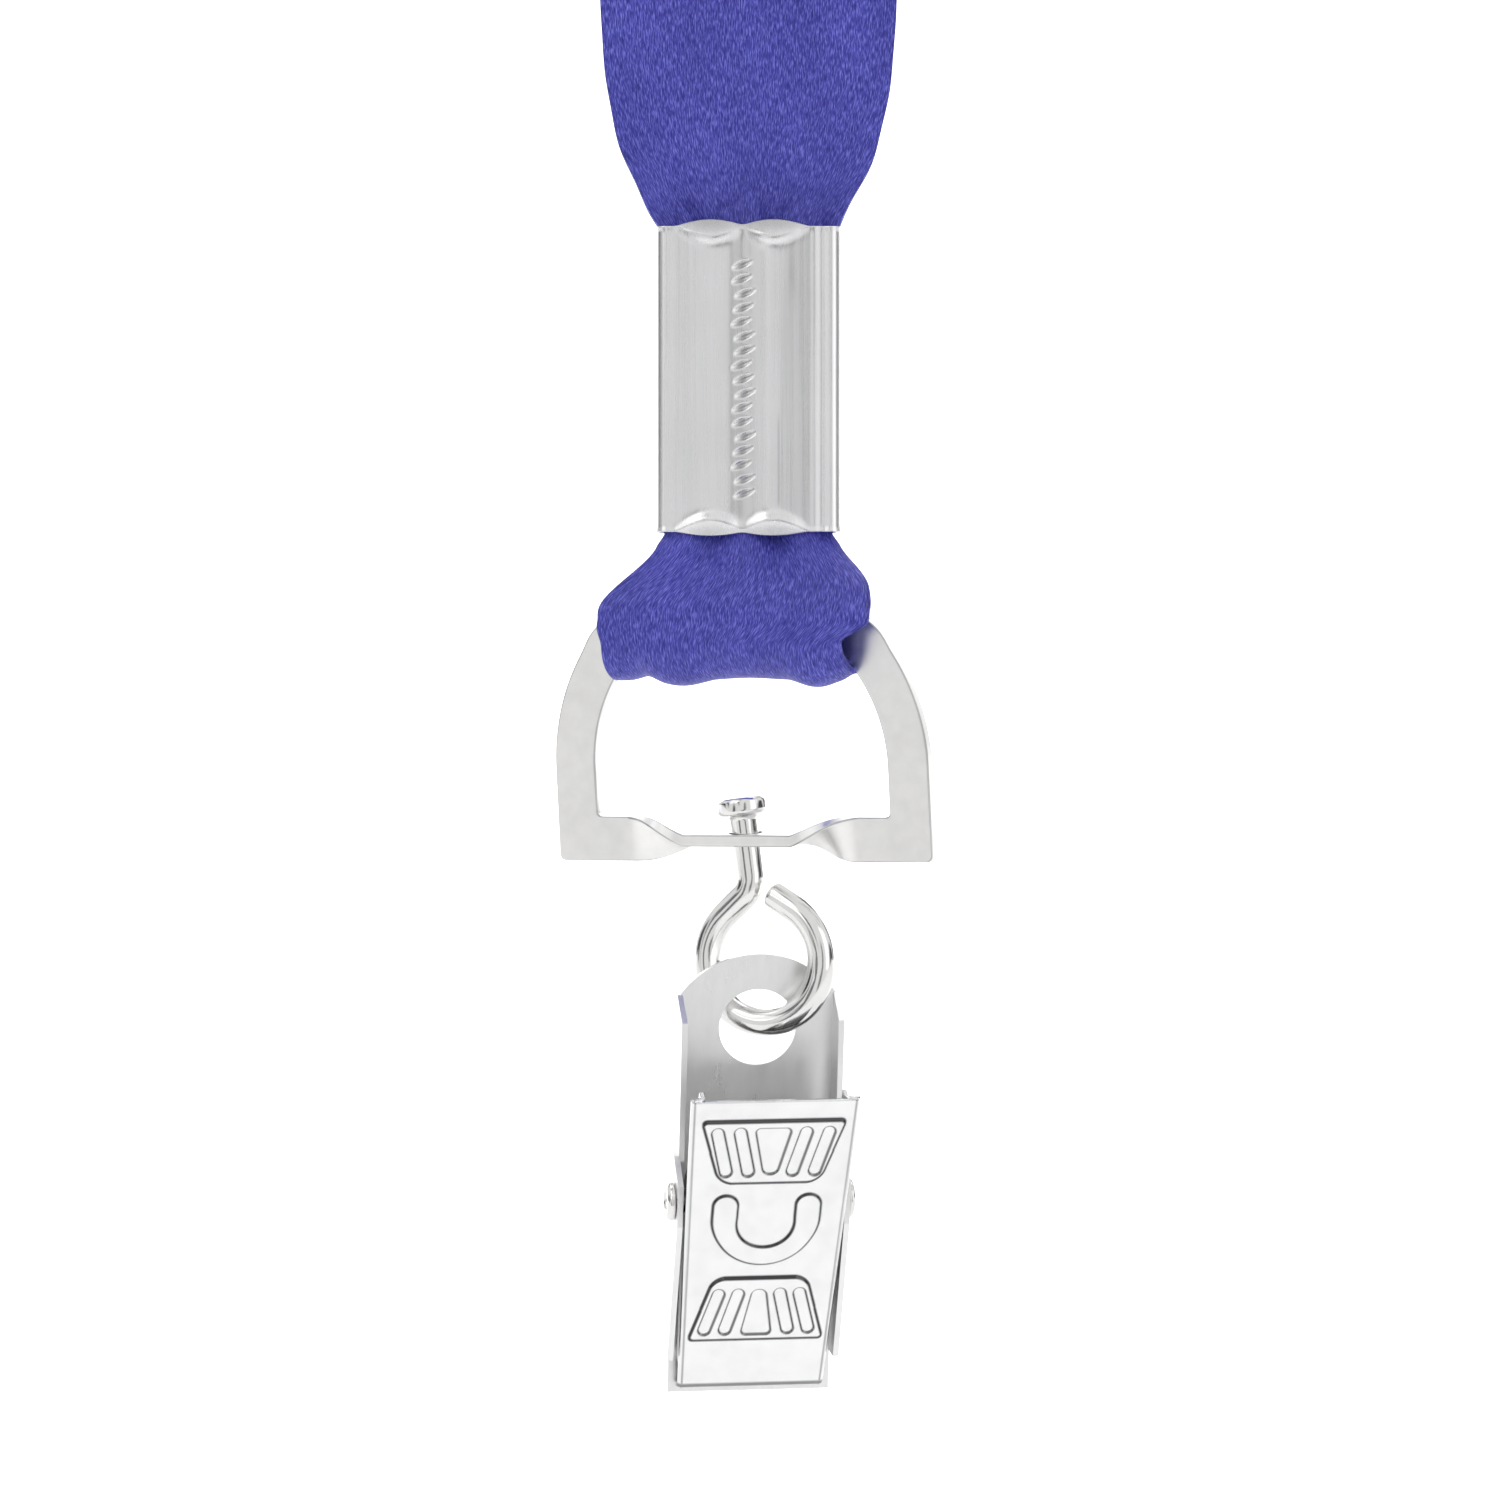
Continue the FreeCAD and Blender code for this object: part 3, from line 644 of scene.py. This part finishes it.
def make_crimp(material):
    """Flattened ferrule: two broad lobes on its front, flared lips at both ends, dimples down the valley."""
    half_x = (CRIMP_HIGH.x - CRIMP_LOW.x) / 2
    half_y = (CRIMP_HIGH.y - CRIMP_LOW.y) / 2 - 0.2
    height = CRIMP_HIGH.z - CRIMP_LOW.z
    lobe_centres = (-2.5, 1.65)
    lobe_reach = 2.45
    corner = 0.75
    wall = 0.38
    seam_half = 0.12
    seam_depth = 0.22
    dimple_pitch = 0.95
    dimple_rows = 8
    dark = []

    def lip(rim, lobe):
        """The lip's bulge: a ridge a little inside the rim, highest at the lobe's middle."""
        ridge = 0.95 * lobe
        if rim < ridge:
            return 0.26 * lobe - 0.62 * lobe * (1 - rim / ridge) ** 1.2
        return 0.26 * lobe * math.exp(-(((rim - ridge) / 0.38) ** 2))

    def dimple(x, middle):
        """Depth of a row of short slanted pits."""
        nearest = round(middle / dimple_pitch)
        if abs(nearest) > dimple_rows:
            return 0.0
        beside = x + 0.15 * math.sin(nearest * 1.9)
        over = middle - nearest * dimple_pitch - 0.35 * beside
        away = math.hypot(beside / 0.62, over / 0.26)
        return 0.16 * smoothstep(1.3 - away)

    def point(share, around):
        spot, outward = rounded_rectangle(around, half_x, half_y, corner)
        above = share * height
        rim = min(above, height - above)
        front = smoothstep(-outward.y)
        lobe = math.sqrt(sum(bump_at(spot.x, centre, lobe_reach) for centre in lobe_centres))
        push = 0.10 * front * lobe
        push += 0.10 * front * bump_at(spot.x, 0.0, 6.0)
        push -= 0.10 * front * bump_at(spot.x, 4.9, 0.6)
        push -= 0.10 * front * bump_at(spot.x, 0.0, 1.4)
        push += front * lip(rim, lobe)
        push += 0.05 * smoothstep(1 - rim / 0.4)
        reach = (0.50 if above > height / 2 else 0.30) * lobe * front * smoothstep(1 - rim / 2.2)
        stretch = reach if above > height / 2 else -reach
        # painted shade per point, kept in the attribute: dark in the dimples, down the valley and beside the
        # lips, with a thin dark line near x = 2 mm and a faint patch near x = 2.9 mm
        shade = 0.0
        if outward.y < -0.9:
            pit = dimple(spot.x + 0.35, above - height / 2)
            push -= pit
            shade = 2.6 * pit + 0.13 * bump_at(spot.x + 0.2, 0.0, 1.2)
            shade += 0.16 * bump_at(spot.x, 2.9, 0.5) * smoothstep(1 - abs(height - above - 3.0) / 3.0)
            thin_line_span = smoothstep((8.5 - above) / 2.0) * smoothstep((above - 1.6) / 0.4)
            shade += 0.26 * bump_at(spot.x, 2.0, 0.12) * thin_line_span
            shade += 0.32 * lobe * smoothstep(1.2 - rim / max(0.3, 0.95 * lobe))
        dark.append(shade)
        if outward.y > 0.9 and abs(spot.x) < seam_half:
            push -= seam_depth
        flat = spot + outward * push
        return (flat.x, flat.y, CRIMP_LOW.z + above + stretch), (around * 30, above)

    piece = grid("crimp_shell", 300, 460, point, material, wrap=True)
    stamped = piece.data.attributes.new("painted_shade_marks", "FLOAT", "POINT")
    stamped.data.foreach_set("value", dark)
    thicken(piece, wall, -1.0)
    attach(piece, "lanyard")
    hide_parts("crimp_ferrule")


# ---------------------------------------------------------------- stirrup

STIRRUP_DROP = 14.8
BAR_HALF = 1.5
ARM_HALF = 1.5
PLATE_HALF = 0.4
EDGE_RADIUS = 0.13
ARCH_RADIUS = 13.95
ARCH_DROP = 8.5
STUB_REACH = 8.6
FLAT_REACH = 4.0
PIN_HOLE = 1.15


def rounded_section(middle, wide, deep, half_wide, half_deep, corner):
    """A ring of points round a rounded bar section, each with 1 where the corner turns and 0 elsewhere."""
    ring = []
    for quarter, (a, b) in enumerate(((1, 1), (-1, 1), (-1, -1), (1, -1))):
        for step in range(4):
            angle = math.radians(90 * quarter + 30 * step)
            along = a * (half_wide - corner) + corner * math.cos(angle)
            out = b * (half_deep - corner) + corner * math.sin(angle)
            ring.append((middle + wide * along + deep * out, 1.0 if step in (1, 2) else 0.0))
    return ring


def loft(name, rings, material, closed=True):
    """Skin over equal rings of points in mm, closed on itself or capped at its ends."""
    count = len(rings[0])
    spots = [spot * MM for ring in rings for spot in ring]
    faces = []
    last = len(rings) if closed else len(rings) - 1
    for index in range(last):
        after = (index + 1) % len(rings)
        for corner in range(count):
            beside = (corner + 1) % count
            faces.append(
                (
                    index * count + corner,
                    index * count + beside,
                    after * count + beside,
                    after * count + corner,
                )
            )
    if not closed:
        faces.append(tuple(reversed(range(count))))
        faces.append(tuple((len(rings) - 1) * count + corner for corner in range(count)))
    mesh = bpy.data.meshes.new(name)
    mesh.from_pydata(spots, [], faces)
    builder = bmesh.new()
    builder.from_mesh(mesh)
    bmesh.ops.recalc_face_normals(builder, faces=builder.faces)
    builder.to_mesh(mesh)
    builder.free()
    return link_mesh(name, mesh, material)


def sharpen(piece, degrees):
    """Edges bent more than an angle shade sharp, so flat faces beside them stay flat."""
    builder = bmesh.new()
    builder.from_mesh(piece.data)
    for edge in builder.edges:
        edge.smooth = edge.calc_face_angle(0.0) < math.radians(degrees)
    builder.to_mesh(piece.data)
    builder.free()


def stirrup_stations():
    """Outer and inner outline points down the right half of the stirrup, with the bar's twist in degrees."""
    stations = []
    top_outer = math.sqrt(ARCH_RADIUS ** 2 - (BAR_HALF + ARCH_DROP) ** 2)
    inner_radius = ARCH_RADIUS - 2 * ARM_HALF
    top_inner = math.sqrt(inner_radius ** 2 - (ARCH_DROP - BAR_HALF) ** 2)
    for step in range(9):
        share = step / 8
        stations.append(((top_outer * share, BAR_HALF), (top_inner * share, -BAR_HALF), 0.0))
    outer_from = math.acos(top_outer / ARCH_RADIUS)
    inner_from = math.acos(top_inner / inner_radius)
    for step in range(1, 29):
        share = step / 28
        a = outer_from * (1 - share)
        b = inner_from * (1 - share)
        stamped = 0.16 * bump_at(share, 0.12, 0.16)
        outer = (
            (ARCH_RADIUS + stamped) * math.cos(a),
            (ARCH_RADIUS + stamped) * math.sin(a) - ARCH_DROP,
        )
        stations.append((outer, (inner_radius * math.cos(b), inner_radius * math.sin(b) - ARCH_DROP), 0.0))
    low_outer = -STIRRUP_DROP
    low_inner = 2 * BAR_HALF - STIRRUP_DROP
    corner = 0.45
    inner_corner = 0.35
    for step in range(7):
        share = step / 6
        outer_z = -ARCH_DROP + (low_outer + corner + ARCH_DROP) * share
        inner_z = -ARCH_DROP + (low_inner + inner_corner + ARCH_DROP) * share
        stations.append(((ARCH_RADIUS, outer_z), (inner_radius, inner_z), 0.0))
    for step in range(1, 8):
        turn = math.radians(90 * step / 8)
        outer = (
            ARCH_RADIUS - corner + corner * math.cos(turn),
            low_outer + corner - corner * math.sin(turn),
        )
        inner = (
            inner_radius - inner_corner + inner_corner * math.cos(turn),
            low_inner + inner_corner - inner_corner * math.sin(turn),
        )
        stations.append((outer, inner, 0.0))
    for step in range(6):
        share = step / 5
        outer_x = ARCH_RADIUS - corner + (STUB_REACH - ARCH_RADIUS + corner) * share
        inner_x = inner_radius - inner_corner + (STUB_REACH - inner_radius + inner_corner) * share
        stations.append(((outer_x, low_outer), (inner_x, low_inner), 0.0))
    for step in range(1, 25):
        share = step / 24
        x = STUB_REACH + (FLAT_REACH - STUB_REACH) * share
        stations.append(((x, low_outer), (x, low_inner), 90 * smoothstep(share) * 0.35 + 90 * share * 0.65))
    for step in range(1, 9):
        x = FLAT_REACH * (1 - step / 8)
        stations.append(((x, low_outer), (x, low_inner), 90.0))
    return stations


def ring_mismatch(ring, before, shift):
    """Total distance from one ring's points to another's, when the first is read from a shifted start."""
    count = len(ring)
    return sum((ring[(k + shift) % count][0] - before[k][0]).length for k in range(count))


def make_stirrup(material):
    """Stamped plate bent to a D, its bottom bar twisted level, with a hole for the pin."""
    turn = Matrix.Rotation(math.radians(STIRRUP_YAW), 3, "Z")
    turn = turn @ Matrix.Rotation(math.radians(6.0), 3, "X")
    half = stirrup_stations()
    whole = [(station, 1.0) for station in half]
    whole += [(station, -1.0) for station in reversed(half[1:-1])]
    rings = []
    deep = Vector((0, 1, 0))
    for (outer, inner, twist), side in whole:
        out = Vector((outer[0] * side, 0, outer[1]))
        within = Vector((inner[0] * side, 0, inner[1]))
        wide = (out - within).normalized()
        rotation = Matrix.Rotation(math.radians(twist), 3, "X")
        ring = rounded_section(
            (out + within) / 2,
            rotation @ wide,
            rotation @ deep,
            (out - within).length / 2,
            PLATE_HALF,
            EDGE_RADIUS,
        )
        rings.append([(BAR + turn @ spot, mark) for spot, mark in ring])
    # sections on the left half run the other way round, so each is matched to the one before it
    for index in range(1, len(rings)):
        before = rings[index - 1]
        ring = rings[index]
        count = len(ring)
        best = min(range(count), key=lambda shift: ring_mismatch(ring, before, shift))
        rings[index] = [ring[(k + best) % count] for k in range(count)]
    piece = loft("stirrup_shell", [[spot for spot, mark in ring] for ring in rings], material)
    # painted shade: the plate's rounded edges darkened all along
    painted_edge_shade = piece.data.attributes.new("painted_shade_marks", "FLOAT", "POINT")
    painted_edge_shade.data.foreach_set("value", [0.45 * mark for ring in rings for spot, mark in ring])
    hole_at = BAR + turn @ Vector((0, 0, BAR_HALF - STIRRUP_DROP))
    bore = bpy.data.meshes.new("pin_bore")
    builder = bmesh.new()
    bmesh.ops.create_cone(
        builder,
        cap_ends=True,
        segments=48,
        radius1=PIN_HOLE * MM,
        radius2=PIN_HOLE * MM,
        depth=4 * MM,
        matrix=Matrix.Translation(hole_at * MM) @ turn.to_4x4(),
    )
    builder.to_mesh(bore)
    builder.free()
    cutter = bpy.data.objects.new("pin_bore", bore)
    bpy.context.collection.objects.link(cutter)
    boolean = piece.modifiers.new("pin_hole", "BOOLEAN")
    boolean.operation = "DIFFERENCE"
    boolean.object = cutter
    boolean.solver = "EXACT"
    bpy.context.view_layer.update()
    drilled = bpy.data.meshes.new_from_object(piece.evaluated_get(bpy.context.evaluated_depsgraph_get()))
    piece.modifiers.clear()
    piece.data = drilled
    bpy.data.objects.remove(cutter)
    bpy.data.meshes.remove(bore)
    sharpen(piece, 12)
    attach(piece, "stirrup")
    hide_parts("stirrup")


# ---------------------------------------------------------------- rivet


def make_rivet(material):
    """Pin through the clip's ears: a rolled hollow left end and a domed right end."""
    axis = clip_frame() @ Vector((1, 0, 0))
    up = clip_frame() @ Vector((0, 0, 1))
    deep = clip_frame() @ Vector((0, 1, 0))
    # each pair is a distance along the rivet's axis and a radius there
    left = [
        (-5.15, 0.0),
        (-5.15, 0.46),
        (-6.20, 0.52),
        (-6.38, 0.62),
        (-6.45, 0.85),
        (-6.38, 1.12),
        (-6.18, 1.32),
        (-6.00, 1.34),
        (-5.89, 1.25),
        (-5.88, 0.80),
    ]
    right = [
        (5.88, 0.80),
        (5.89, 1.28),
        (5.98, 1.36),
        (6.12, 1.36),
        (6.26, 1.22),
        (6.36, 0.95),
        (6.42, 0.55),
        (6.44, 0.0),
    ]
    segments = 48
    rings = []
    for along, radius in left + right:
        ring = []
        for index in range(segments):
            angle = 2 * math.pi * index / segments
            ring.append(
                PIVOT + axis * along + (up * math.cos(angle) + deep * math.sin(angle)) * max(radius, 0.01)
            )
        rings.append(ring)
    piece = loft("rivet_shell", rings, material, closed=False)
    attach(piece, "clip_back")
    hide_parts("pivot_rivet")


# ---------------------------------------------------------------- metal parts from their solids


def rounded_copy(name, node, body, material, edge, segments, sharp):
    """A CAD part's own shape with its sharp edges rounded over, as plated stampings are."""
    mesh = frame["nodes"][node].data.copy()
    mesh.materials.clear()
    builder = bmesh.new()
    builder.from_mesh(mesh)
    bmesh.ops.remove_doubles(builder, verts=builder.verts, dist=0.002 * MM)
    bmesh.ops.dissolve_limit(
        builder,
        angle_limit=math.radians(0.6),
        verts=builder.verts,
        edges=builder.edges,
    )
    corners = [rim for rim in builder.edges if rim.calc_face_angle(0.0) > math.radians(28)]
    bmesh.ops.bevel(
        builder,
        geom=corners,
        offset=edge * MM,
        offset_type="OFFSET",
        segments=segments,
        profile=0.5,
        affect="EDGES",
        clamp_overlap=True,
    )
    builder.to_mesh(mesh)
    builder.free()
    piece = link_mesh(name, mesh, material)
    sharpen(piece, sharp)
    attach(piece, body)
    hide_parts(node)
    return piece


# ---------------------------------------------------------------- clip's front plate

LEVER_TOP = 9.2
LEVER_BOTTOM = -13.8
LEVER_FACE = 2.4
HALF_TOP = 5.7
HALF_BOTTOM = 4.95


def clip_frame(lean=0.0):
    """Turn from the clip's own upright frame to the row, leaning further about the pivot by some degrees."""
    turn = Matrix.Rotation(math.radians(CLIP_ROLL), 3, "Y")
    turn = turn @ Matrix.Rotation(math.radians(CLIP_YAW), 3, "Z")
    return turn @ Matrix.Rotation(math.radians(CLIP_PITCH + lean), 3, "X")


def capsule(x, z, start, end, radius):
    """Signed distance to an obround between two points."""
    ax, az = x - start[0], z - start[1]
    bx, bz = end[0] - start[0], end[1] - start[1]
    share = min(1.0, max(0.0, (ax * bx + az * bz) / (bx * bx + bz * bz)))
    return math.hypot(ax - bx * share, az - bz * share) - radius


def trapezoid(x, z, low, high, half_low, half_high, corner):
    """Signed distance, near enough, to an upright trapezoid with rounded corners."""
    middle = (low + high) / 2
    tall = (high - low) / 2 - corner
    slope = (half_high - half_low) / (high - low)
    half = half_low + slope * (z - low) - corner
    side = (abs(x) - half) / math.hypot(1, slope)
    end = abs(z - middle) - tall
    return math.hypot(max(side, 0.0), max(end, 0.0)) + min(max(side, end), 0.0) - corner


def smile(x, z, centre, radius, half_stroke, horn):
    """Signed distance to a U-shaped band: a half ring with straight round-ended horns."""
    away_x, away_z = x - centre[0], z - centre[1]
    if away_z > 0:
        beyond = max(0.0, away_z - horn)
        return math.hypot(abs(away_x) - radius, beyond) - half_stroke
    return abs(math.hypot(away_x, away_z) - radius) - half_stroke


STEP = 0.15


def raised(distance):
    """1 inside a stamped outline, falling to 0 across its step."""
    return smoothstep(0.5 - distance / STEP)


TOP_PANEL = {
    "outline": (2.83, 7.70, 3.35, 4.85),
    "corners": (0.9, 0.4),
    "middle": (3.6, 7.2, 0.45, 1.25),
    "slots": (((1.5, 3.85), (2.22, 6.85)), ((3.0, 3.85), (3.75, 6.85))),
}
BOTTOM_PANEL = {
    "outline": (-9.67, -4.73, 4.56, 3.13),
    "corners": (0.35, 0.8),
    "middle": (-9.2, -5.6, 1.05, 0.45),
    "slots": (((2.12, -8.75), (1.42, -5.95)), ((3.52, -8.75), (2.75, -5.95))),
}


def panel_distances(x, z, panel):
    """Signed distances to a fan panel's outline and to what is sunk into it."""
    low, high, half_low, half_high = panel["outline"]
    corner = panel["corners"][0] if z < (low + high) / 2 else panel["corners"][1]
    outline = trapezoid(x, z, low, high, half_low, half_high, corner)
    sunk = trapezoid(x, z, *panel["middle"], 0.4)
    for foot, head in panel["slots"]:
        sunk = min(sunk, capsule(abs(x), z, foot, head, 0.42))
    return outline, sunk


def smile_distance(x, z):
    """Signed distance to the U between the panels; its horns are a little broader than its bowl."""
    half_stroke = 0.70 + 0.15 * smoothstep((z + 2.2) / 2.5)
    return smile(x, z, (0.0, -0.1), 2.8, half_stroke, 1.18)


def emboss(x, z):
    """Height of the stamped pattern at a place on the lever plate's face, and the darkness of its painted
    shade lines.
    """
    height = max(0.0, raised(smile_distance(x, z)))
    for panel in (TOP_PANEL, BOTTOM_PANEL):
        outline, sunk = panel_distances(x, z, panel)
        height = max(height, raised(outline) - raised(sunk))
    line = smoothstep(1.25 - abs(smile_distance(x, z)) / 0.12)
    # each panel's outline also gets a painted shade line on it and another just above it, and its sunk
    # shapes a painted line inside
    for beside, half_line in ((z, 0.10), (z - 0.12, 0.11)):
        for panel in (TOP_PANEL, BOTTOM_PANEL):
            outline, sunk = panel_distances(x, beside, panel)
            line = max(line, smoothstep(1.25 - abs(outline) / half_line))
            if outline < 0 and beside == z:
                line = max(line, 0.85 * smoothstep(1.25 - abs(sunk) / 0.095))
    return PLATE_STEP_HEIGHT * height, line


PLATE_STEP_HEIGHT = 0.15
PLATE_THICK = 0.34
FLANGE_DEPTHS = ((LEVER_BOTTOM + 2.0, 0.9), (-1.6, 3.65), (1.2, 3.65), (4.4, 1.8), (LEVER_TOP, 1.2))
FLANGE_HALF = 5.0
LIP_HEIGHT = 0.7


def flange_depth(height):
    """How far the side flange reaches back from the face: deepest beside the rivet, cut away at the jaw."""
    depth = FLANGE_DEPTHS[0][1]
    for (low, low_depth), (high, high_depth) in zip(FLANGE_DEPTHS, FLANGE_DEPTHS[1:]):
        share = max(0.0, min(1.0, (height - low) / (high - low)))
        depth += (high_depth - low_depth) * share
    notch = smoothstep((height - LEVER_BOTTOM - 1.8) / 0.4)
    return max(0.32, depth * notch)


def make_front_plate(material):
    """Lever plate: an embossed face, side flanges turned back, and a lip along the jaw."""
    turn = clip_frame(LEVER_ANGLE)
    bend = 0.28
    rows = 380
    columns = 300
    face_share = 0.78
    # painted shade per point: dark lines along the stamped pattern, along the bends into the side flanges
    # and along the bend of the jaw's lip
    lines = []

    def point(share, across_share):
        height = LEVER_BOTTOM + share * (LEVER_TOP - LEVER_BOTTOM)
        half = HALF_BOTTOM + (HALF_TOP - HALF_BOTTOM) * share
        across = 2 * across_share - 1
        side = math.copysign(1.0, across)
        reach = abs(across)
        arc = bend * math.pi / 2
        line = 0.0
        if reach <= face_share:
            x = reach / face_share * (half - bend)
            rise, line = emboss(side * x, height)
            y = -LEVER_FACE - rise
            line = max(line, 0.55 * smoothstep(1.3 - abs(x - half + bend) / 0.07))
        else:
            run = (reach - face_share) / (1 - face_share) * (arc + flange_depth(height) - bend)
            turned = min(run, arc) / bend
            x = half - bend + bend * math.sin(turned)
            y = -LEVER_FACE + bend * (1 - math.cos(turned))
            beyond = max(0.0, run - arc)
            # behind its bend the flange steps in, to pass between the back plate's sides
            x -= max(0.0, half - FLANGE_HALF) * smoothstep(beyond / 0.3)
            y += beyond
            line = 0.55 * smoothstep(1.3 - run / 0.10)
        tip = smoothstep((reach - face_share) / 0.08) * smoothstep((share - 0.93) / 0.07)
        spot = Vector((side * x, y, height + 0.12 * tip))
        lip = height - LEVER_BOTTOM
        if lip < LIP_HEIGHT:
            angle = (LIP_HEIGHT - lip) / LIP_HEIGHT * math.radians(78)
            spot.y += 0.6 * (1 - math.cos(angle))
            spot.z = LEVER_BOTTOM + LIP_HEIGHT - 0.68 * math.sin(angle)
        line = max(line, 0.75 * smoothstep(1.5 - abs(lip - 0.5) / 0.16))
        lines.append(line)
        spot.rotate(turn)
        return PIVOT + spot, (side * x, height)

    piece = grid("clip_front_shell", rows, columns, point, material)
    stamped = piece.data.attributes.new("painted_shade_marks", "FLOAT", "POINT")
    stamped.data.foreach_set("value", lines)
    thicken(piece, PLATE_THICK, -1.0)
    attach(piece, "clip_front")
    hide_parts("clip_front_plate")


# ---------------------------------------------------------------- build

make_camera()
make_stage()

satin = satin_material()
crimp_metal = metal_material("brushed_nickel", (0.86, 0.86, 0.865), 0.27, (2600.0, 2600.0, 45.0), 0.35)
stirrup_metal = metal_material("stirrup_plate", (0.93, 0.925, 0.91), 0.33, (900.0, 900.0, 900.0), 0.10)
wire_metal = metal_material("wire_plate", (0.86, 0.855, 0.84), 0.13, (900.0, 900.0, 140.0), 0.10)
clip_metal = metal_material("clip_plate", (0.88, 0.88, 0.875), 0.30, (1500.0, 1500.0, 60.0), 0.12)
lever_metal = metal_material("lever_plate", (0.93, 0.93, 0.93), 0.20, (900.0, 900.0, 900.0), 0.05)
spring_metal = metal_material("spring_wire", (0.55, 0.55, 0.56), 0.28, (800.0, 800.0, 800.0), 0.10)

make_neck_loop(satin)
make_fold("satin_outer_fold", "strap_outer_fold", 2.45, 1.30, satin)
make_fold("satin_inner_fold", "strap_inner_fold", 1.98, 0.75, satin)
make_crimped_plies(satin)
make_crimp(crimp_metal)
make_stirrup(stirrup_metal)
rounded_copy("hook_shell", "hook_wire", "hook", wire_metal, 0.36, 5, 40)
rounded_copy("clip_back_shell", "clip_back_plate", "clip_back", clip_metal, 0.08, 2, 12)
make_rivet(wire_metal)
# paint the dark shade lines into these three metals' base colour
for stamped_metal in (lever_metal, crimp_metal, stirrup_metal):
    paint_step_shade(stamped_metal, "painted_shade_marks")
make_front_plate(lever_metal)
for spring_node in ("spring_coil", "spring_front_leg"):
    for holder in frame["nodes"][spring_node].material_slots:
        holder.material = spring_metal
